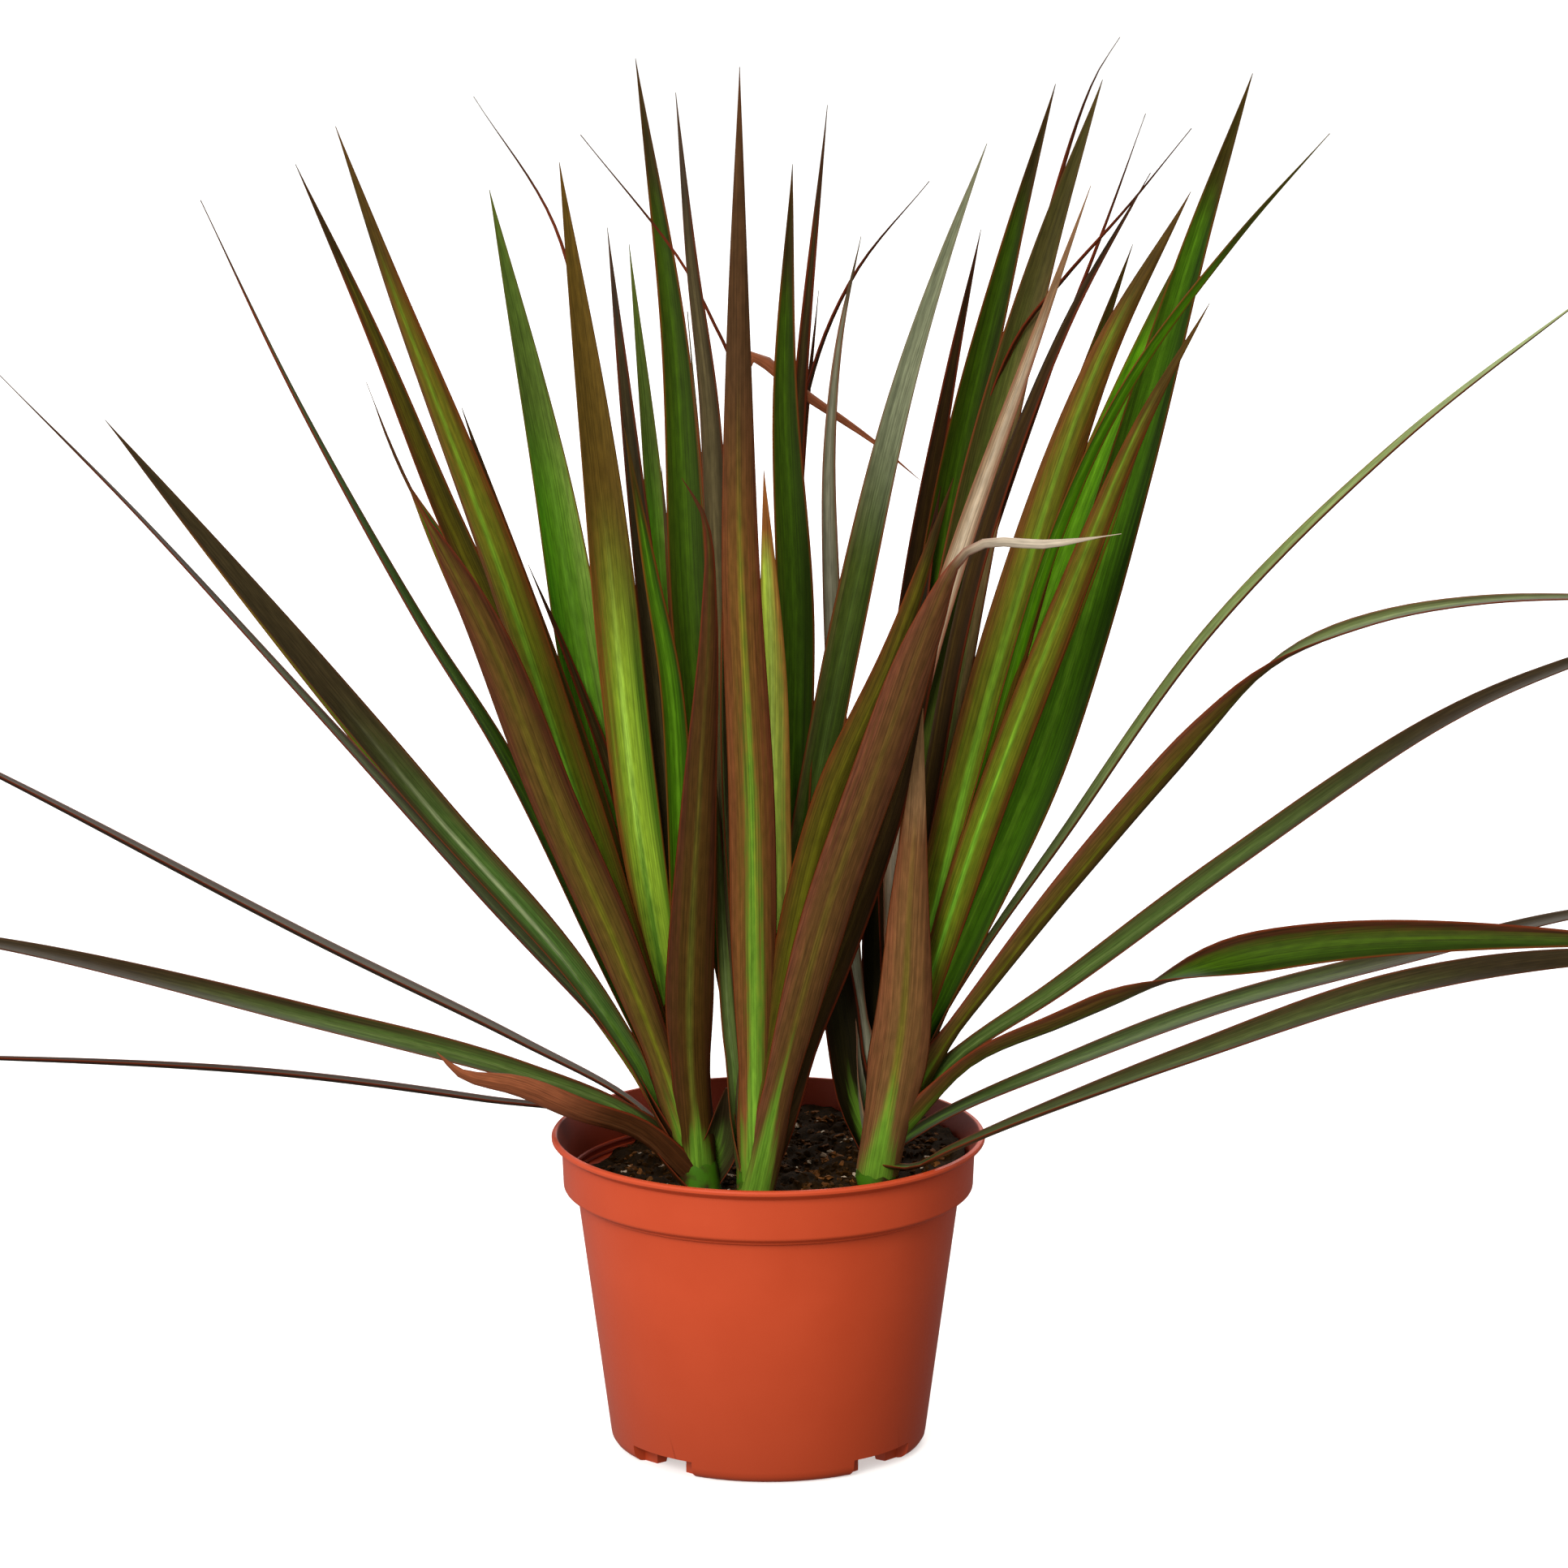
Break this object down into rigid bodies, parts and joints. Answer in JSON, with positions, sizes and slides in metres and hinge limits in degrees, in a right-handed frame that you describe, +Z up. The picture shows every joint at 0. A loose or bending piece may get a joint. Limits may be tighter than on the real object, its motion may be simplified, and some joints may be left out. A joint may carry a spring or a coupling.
{
  "type": "potted dragon tree",
  "caption": "Potted Madagascar dragon tree: leafy shoots of long narrow channelled leaves fanning out of a round plastic nursery pot.",
  "frame": {"origin": "centre of the pot's foot, on the surface that the pot stands on", "axes": "+Z up along the pot's axis, +X to the right, -Y towards the front from which the plant is usually seen"},
  "size_m": [0.5033, 0.244, 0.3405],
  "materials": {
    "pot_plastic": "injection moulded polypropylene, terracotta orange, satin",
    "potting_mix": "damp peat and fine bark with pale grit",
    "leaf": "waxy leaf, green with a red margin above, bronze with a green midrib below"
  },
  "bodies": {
    "root": {"pot": "pot_plastic", "potting_mix": "potting_mix", "shoot_left": "leaf", "shoot_front": "leaf", "shoot_right": "leaf"}
  },
  "joints": []
}
